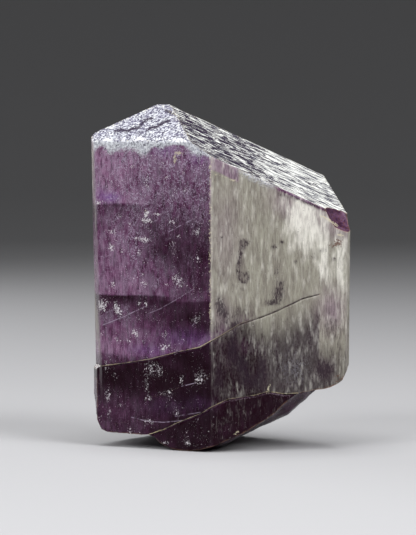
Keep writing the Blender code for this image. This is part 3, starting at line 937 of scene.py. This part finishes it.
def scapolite(settings, planes, axis):
    """The crystal's material. It reads the fields on the mesh, and where the flat faces are."""
    material = bpy.data.materials.new("purple_scapolite")
    material.use_nodes = True
    graph = Graph(material.node_tree)
    growth, filaments, wear = growth_group(), filaments_group(), wear_group()
    place = graph.add("ShaderNodeTexCoord").outputs["Object"]
    field = graph.attribute

    def both(one, two):
        return graph.math("MULTIPLY", one, two)

    def most(one, two):
        return graph.math("MAXIMUM", one, two)

    def times_plus(value, factor, more):
        return graph.math("MULTIPLY_ADD", value, factor, more)

    def grown(width, low, high, length=None, amount=0.0, along=(0.0, 0.0, 1.0)):
        """Grain of a width in millimetres, which shows as its noise goes from low to high."""
        sizes = {"Width": width * MM, "Length": (length or width) * MM, "Low": low, "High": high}
        return graph.group(growth, Vector=place, Along=along, Amount=amount, **sizes)

    def spread(name, reach):
        """How much a field makes grain spread."""
        return both(field(name), reach)

    def lay(share, strength, below, paint):
        """Lays a paint over what is below it."""
        return graph.mix(both(share, strength), below, paint)

    # The purple body in its zones of light, which hold the painted light and shadow at the upper crack, with
    # violet spots, haze, dust and a net of pale threads.
    fine = grown(0.2, 0.3, 0.7, length=1.3)
    cloud = grown(0.6, 0.3, 0.7, length=1.6)
    uneven = times_plus(fine, 0.28, times_plus(cloud, 0.24, -0.26))
    uneven = both(uneven, times_plus(field("light"), 2.4, 0.1))
    light = times_plus(field("light"), 0.95, uneven)
    body = graph.ramp(light, ((0.0, DEEP), (0.4, PLUM), (1.0, MAUVE)))
    glow = times_plus(light, 1.6, 0.05)
    body = lay(both(field("violet"), graph.math("MINIMUM", glow, 1.0)), 0.75, body, VIOLET)
    pale = graph.step(field("light"), 0.0, 0.45, 0.04, 1.0)
    dust = grown(0.16, 0.56, 0.72)
    haze = grown(1.1, 0.4, 0.68, length=2.0, amount=spread("net", 0.06))
    paint = lay(both(haze, pale), 0.19, body, VEIL)
    paint = lay(both(dust, pale), 0.38, paint, VEIL)
    net = graph.group(filaments, Vector=place, Size=0.7 * MM, Amount=field("net"))
    paint = lay(both(net, field("net")), both(pale, 0.9), paint, VEIL)

    # The grey film, partly a real frosted film and partly painted sheen, with painted shade under the upper
    # crack and low down, its blush and painted highlights, ragged and full of pores.
    streak = grown(0.15, 0.38, 0.62, length=1.2)
    wisps = grown(0.26, 0.38, 0.62, length=0.5)
    band = grown(0.9, 0.35, 0.65, length=5.0)
    grey = graph.mix(times_plus(streak, 0.5, both(band, 0.5)), OLIVE_SHADE, OLIVE)
    # Painted shade on the film under the upper crack and low down.
    grey = lay(field("painted_film_shade"), 0.9, grey, graph.mix(wisps, SHADED_FILM_DARK, SHADED_FILM))
    grey = lay(field("blush"), 0.9, grey, graph.mix(streak, BLUSH_SHADE, BLUSH))
    # Painted highlights, where the sheen on the film is brightest.
    painted_highlight = grown(0.6, 0.46, 1.0, length=2.4, amount=spread("shine", 0.44))
    painted_highlight = both(painted_highlight, times_plus(streak, 0.3, 0.75))
    grey = lay(painted_highlight, 0.95, grey, SHEEN)
    ragged = times_plus(streak, 0.2, times_plus(band, 0.22, -0.36))
    ragged = times_plus(wisps, 0.16, times_plus(cloud, 0.16, ragged))
    cover = graph.step(graph.math("ADD", field("film"), ragged), 0.1, 0.8)
    pores = grown(0.2, 0.3, 0.37, length=0.26)
    cover = both(cover, times_plus(pores, 0.45, 0.55))
    paint = graph.mix(cover, paint, grey)

    # White flecks: blobs, specks and curls.
    blobs = grown(0.27, 0.77, 0.83, amount=spread("flecks", 0.29))
    specks = grown(0.19, 0.7, 0.75, amount=spread("flecks", 0.08))
    curls = graph.group(filaments, Vector=place, Size=1.1 * MM, Amount=0.25)
    curls = both(curls, graph.step(field("flecks"), 0.3, 0.7))
    specks = both(specks, graph.step(field("flecks"), 0.0, 0.3, 0.0, 0.7))
    marks = most(most(blobs, specks), both(curls, 0.7))
    paint = lay(marks, 0.85, paint, FLECK)

    # Frost on the pyramid and under it.
    speckle = grown(0.34, 0.43, 0.57)
    drift = grown(1.6, 0.4, 0.66)
    frost = graph.mix(speckle, FROST_SHADE, FROST)
    frost = lay(drift, 0.35, frost, HAZE)
    frost = lay(graph.step(field("frost"), 1.0, 1.15, 1.0, 0.0), 0.5, frost, FROST)
    frost = lay(grown(0.3, 0.6, 0.66, amount=both(drift, 0.08)), 0.85, frost, INK)
    frost = lay(grown(0.45, 0.7, 0.85, amount=spread("patches", 0.4)), 0.9, frost, SNOW)
    frosted = grown(0.3, 0.62, 1.1, amount=spread("frost", 0.7))
    paint = graph.mix(frosted, paint, frost)

    # Strands along the striated faces, with dark gaps and seams between them.
    ridges = [planes[name][0].cross(planes["top_back"][0]).normalized() for name in STRIATED_FACES]
    side = graph.step(field("across"), -0.5, 0.5)
    along = graph.add("ShaderNodeMix", {0: side, 4: ridges[1], 5: ridges[0]}, data_type="VECTOR").outputs[1]
    tone = grown(0.28, 0.42, 0.52, length=2.4, along=along)
    steps = graph.mix(tone, STRIA_SHADE, STRIA)
    gaps = grown(0.25, 0.61, 0.66, length=1.4, amount=spread("gaps", 0.22), along=along)
    seams = grown(0.22, 0.57, 0.61, length=9.0, along=along)
    steps = lay(seams, 0.85, steps, INK)
    steps = lay(gaps, 0.96, steps, INK)
    paint = graph.mix(field("striated"), paint, steps)

    # Dark marks, breaks, stains and the rims of breaks.
    smudge = both(graph.step(field("marks"), 0.1, 0.95), times_plus(frosted, -0.8, 1.0))
    murk = graph.mix(graph.step(field("film"), 0.25, 0.6), SOOT, SMUDGE)
    paint = lay(smudge, times_plus(streak, -0.4, 0.85), paint, murk)
    dark = grown(0.2, 0.74, 0.84, length=0.45, amount=spread("marks", 0.38))
    paint = lay(dark, times_plus(frosted, 0.2, 0.72), paint, graph.mix(frosted, SOOT, INK))
    inside = graph.mix(grown(0.8, 0.35, 0.65), BREAK_SHADE, BREAK)
    paint = lay(field("broken"), 0.75, paint, inside)
    paint = lay(grown(0.3, 0.78, 0.9, amount=spread("stain", 0.42)), 0.8, paint, RUST)
    rim = graph.group(wear, Vector=place, Distance=field("rim"), Width=0.24, Breaks=0.9)
    paint = lay(rim, 0.4, paint, TAN)

    # The cracks: a dark thread, and a pale lip over it, painted as the light that the crack's plane reflects.
    thread = graph.step(graph.math("ABSOLUTE", field("crack")), 0.06, 0.13, 1.0, 0.0)
    paint = lay(thread, graph.step(field("across"), 12.0, 15.0, 0.1, 0.45), paint, SOOT)
    above = graph.math("SUBTRACT", field("crack"), 0.12)
    lip_glint = graph.group(wear, Vector=place, Distance=above, Width=0.15, Breaks=0.9)
    paint = lay(both(lip_glint, field("lip_glint")), 0.9, paint, graph.mix(speckle, LIP_GLINT, CREAM))

    # Cream crusts, worn edges and scratches.
    creamy = grown(0.34, 0.74, 0.86, amount=spread("cream", 0.45))
    paint = lay(creamy, 0.6, paint, CREAM)
    line = graph.group(wear, Vector=place, Distance=field("edge"), Width=0.3, Breaks=0.5)
    paint = lay(both(line, field("worn")), 0.36, paint, graph.mix(field("cream"), FLECK, CREAM))
    scratched = both(scratches(graph, place, planes["front_left"], axis), grown(0.6, 0.36, 0.56))
    paint = lay(scratched, 0.9, paint, VEIL)

    # Frost, flecks and wear are duller than the film, and the film than bare crystal.
    dull = most(both(frosted, 0.7), most(marks, both(line, field("worn"))))
    rough = times_plus(cover, 0.2, 0.24)
    rough = times_plus(dull, 0.3, rough)

    height = most(both(frosted, speckle), both(field("striated"), tone))
    height = times_plus(fine, 0.3, times_plus(marks, 0.4, height))
    bump = graph.add("ShaderNodeBump", {"Height": height, "Distance": 0.05 * MM, "Strength": 0.6})
    shader = material.node_tree.nodes["Principled BSDF"]
    graph.put(shader.inputs["Base Color"], paint)
    graph.put(shader.inputs["Roughness"], rough)
    graph.put(shader.inputs["Normal"], bump.outputs[0])
    plain = {
        "Metallic": 0.0,
        "IOR": settings.refraction,
        "Specular IOR Level": settings.gloss,
        "Specular Tint": (*settings.shine_colour, 1),
        "Transmission Weight": settings.clearness,
    }
    for name, value in plain.items():
        shader.inputs[name].default_value = value
    depth = {"Color": (*settings.depth_colour, 1), "Density": settings.density}
    absorb = graph.add("ShaderNodeVolumeAbsorption", depth)
    graph.put(material.node_tree.nodes["Material Output"].inputs["Volume"], absorb.outputs[0])
    return material


class ScapoliteSettings(bpy.types.PropertyGroup):
    """Sizes and colours of the crystal."""

    fine_cell: FloatProperty(
        name="Fine Cell", description="Cell width on the faces in front", default=0.26 * MM, unit="LENGTH"
    )
    coarse_cell: FloatProperty(
        name="Coarse Cell", description="Cell width on the other faces", default=0.45 * MM, unit="LENGTH"
    )
    line_depth: FloatProperty(
        name="Line Depth", description="Depth of the growth lines", default=0.04 * MM, unit="LENGTH"
    )
    grain_depth: FloatProperty(
        name="Grain Depth", description="Depth of the frosted grain", default=0.09 * MM, unit="LENGTH"
    )
    seed: IntProperty(name="Seed", description="Which growth lines the crystal gets", default=3)
    clearness: FloatProperty(
        name="Clearness", description="How much light goes through", default=0.4, subtype="FACTOR"
    )
    refraction: FloatProperty(name="Refraction", description="How far it bends light", default=1.55)
    gloss: FloatProperty(
        name="Gloss", description="How much it mirrors, a half being plain", default=0.3, subtype="FACTOR"
    )
    shine_colour: FloatVectorProperty(
        name="Shine Colour", description="Tint of what the surface mirrors", default=(0.2, 0.16, 0.2),
        subtype="COLOR",
    )
    depth_colour: FloatVectorProperty(
        name="Depth Colour", description="What light is left with in the depth", default=(0.36, 0.1, 0.34),
        subtype="COLOR",
    )
    density: FloatProperty(
        name="Density", description="How fast the depth takes light away, for each metre", default=90.0
    )


class StageSettings(bpy.types.PropertyGroup):
    """The stage, its lights and its camera."""

    floor_colour: FloatVectorProperty(
        name="Floor Colour", description="Colour of the floor", default=(0.30, 0.30, 0.31), subtype="COLOR"
    )
    world_light: FloatProperty(name="World Light", description="Light from all round", default=0.07)
    camera_distance: FloatProperty(
        name="Camera Distance", description="From the camera to the crystal", default=0.48, unit="LENGTH"
    )
    camera_pitch: FloatProperty(
        name="Camera Pitch", description="How far the camera looks down", default=math.radians(2.5),
        subtype="ANGLE",
    )


class SCAPOLITE_OT_crystal(bpy.types.Operator):
    """Makes the finished crystal in place of the frame's solid"""

    bl_idname = "scapolite.crystal"
    bl_label = "Make Crystal"

    def execute(self, context):
        settings = context.scene.scapolite
        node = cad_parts[NODE]
        bm = merged_facets(node)
        planes = crystal_planes(bm)
        axis = c_axis(bm)
        cut_into_cells(bm, planes, settings)
        mesh = bpy.data.meshes.new("scapolite_crystal")
        bm.to_mesh(mesh)
        bm.free()
        name_faces(mesh, planes)
        write_relief(mesh, planes)
        crystal = bpy.data.objects.new("scapolite_crystal", mesh)
        context.scene.collection.objects.link(crystal)
        material = scapolite(settings, planes, axis)
        crystal.data = etched(crystal, material, settings)
        mesh = crystal.data
        write_surface(mesh, planes, axis)
        for name in ("lined", "grained", "habit"):
            mesh.attributes.remove(mesh.attributes[name])
        mesh.shade_smooth()
        mesh.set_sharp_from_angle(angle=SHARP_ANGLE)
        mesh.materials.clear()
        mesh.materials.append(material)
        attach(crystal, "root")
        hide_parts(NODE)
        return {"FINISHED"}


def softbox(name, place, size, power):
    """A square or oblong soft light that faces the crystal."""
    lamp = bpy.data.lights.new(name, "AREA")
    lamp.shape = "RECTANGLE"
    lamp.size, lamp.size_y = size
    lamp.energy = power
    made = bpy.data.objects.new(name, lamp)
    made.location = place
    made.rotation_euler = (Vector(LIT) - Vector(place)).to_track_quat("-Z", "Y").to_euler()
    bpy.context.scene.collection.objects.link(made)


class SCAPOLITE_OT_stage(bpy.types.Operator):
    """Makes the floor, the lights and the camera"""

    bl_idname = "scapolite.stage"
    bl_label = "Make Stage"

    def execute(self, context):
        stage = context.scene.scapolite_stage
        scene = context.scene
        bm = bmesh.new()
        profile = [bm.verts.new((reach, 0, lift)) for reach, lift in FLOOR_PROFILE]
        outline = [bm.edges.new(pair) for pair in zip(profile, profile[1:])]
        bmesh.ops.spin(
            bm, geom=profile + outline, axis=(0, 0, 1), angle=2 * math.pi, steps=FLOOR_STEPS, use_merge=True
        )
        bmesh.ops.remove_doubles(bm, verts=bm.verts[:], dist=1e-6)
        bmesh.ops.recalc_face_normals(bm, faces=bm.faces[:])
        mesh = bpy.data.meshes.new("floor")
        bm.to_mesh(mesh)
        bm.free()
        mesh.shade_smooth()
        floor = bpy.data.objects.new("floor", mesh)
        scene.collection.objects.link(floor)
        paper = bpy.data.materials.new("floor_paper")
        paper.use_nodes = True
        shader = paper.node_tree.nodes["Principled BSDF"]
        shader.inputs["Base Color"].default_value = (*stage.floor_colour, 1)
        shader.inputs["Roughness"].default_value = FLOOR_ROUGHNESS
        mesh.materials.append(paper)

        world = bpy.data.worlds.new("studio")
        world.use_nodes = True
        ground = world.node_tree.nodes["Background"]
        ground.inputs["Color"].default_value = (1, 1, 1, 1)
        ground.inputs["Strength"].default_value = stage.world_light
        scene.world = world

        for light in LIGHTS:
            softbox(*light)

        target = Vector(CAMERA_TARGET) * MM
        pitch = stage.camera_pitch
        back = Vector((0, -math.cos(pitch), math.sin(pitch)))
        lens = bpy.data.cameras.new("camera")
        lens.sensor_fit = "VERTICAL"
        lens.sensor_height = SENSOR
        lens.lens = SENSOR * FOCAL_PIXELS / IMAGE_HEIGHT
        lens.clip_start = 0.01
        camera = bpy.data.objects.new("camera", lens)
        camera.location = target + back * stage.camera_distance
        camera.rotation_euler = (math.radians(90) - pitch, 0, 0)
        scene.collection.objects.link(camera)
        scene.camera = camera
        scene.view_settings.view_transform = "Standard"
        return {"FINISHED"}


class SCAPOLITE_PT_panel(bpy.types.Panel):
    """Lists the crystal's settings and operators"""

    bl_idname = "SCAPOLITE_PT_panel"
    bl_label = "Scapolite"
    bl_space_type = "VIEW_3D"
    bl_region_type = "UI"
    bl_category = "Scapolite"

    def draw(self, context):
        layout = self.layout
        for settings, operator in (
            (context.scene.scapolite, SCAPOLITE_OT_crystal),
            (context.scene.scapolite_stage, SCAPOLITE_OT_stage),
        ):
            for name in settings.__annotations__:
                layout.prop(settings, name)
            layout.operator(operator.bl_idname)


CLASSES = (ScapoliteSettings, StageSettings, SCAPOLITE_OT_crystal, SCAPOLITE_OT_stage, SCAPOLITE_PT_panel)


def register():
    for made in CLASSES:
        bpy.utils.register_class(made)
    bpy.types.Scene.scapolite = PointerProperty(type=ScapoliteSettings)
    bpy.types.Scene.scapolite_stage = PointerProperty(type=StageSettings)


def unregister():
    del bpy.types.Scene.scapolite_stage
    del bpy.types.Scene.scapolite
    for made in reversed(CLASSES):
        bpy.utils.unregister_class(made)


def main():
    """Makes everything."""
    register()
    bpy.ops.scapolite.crystal()
    bpy.ops.scapolite.stage()


if __name__ == "__main__":
    main()
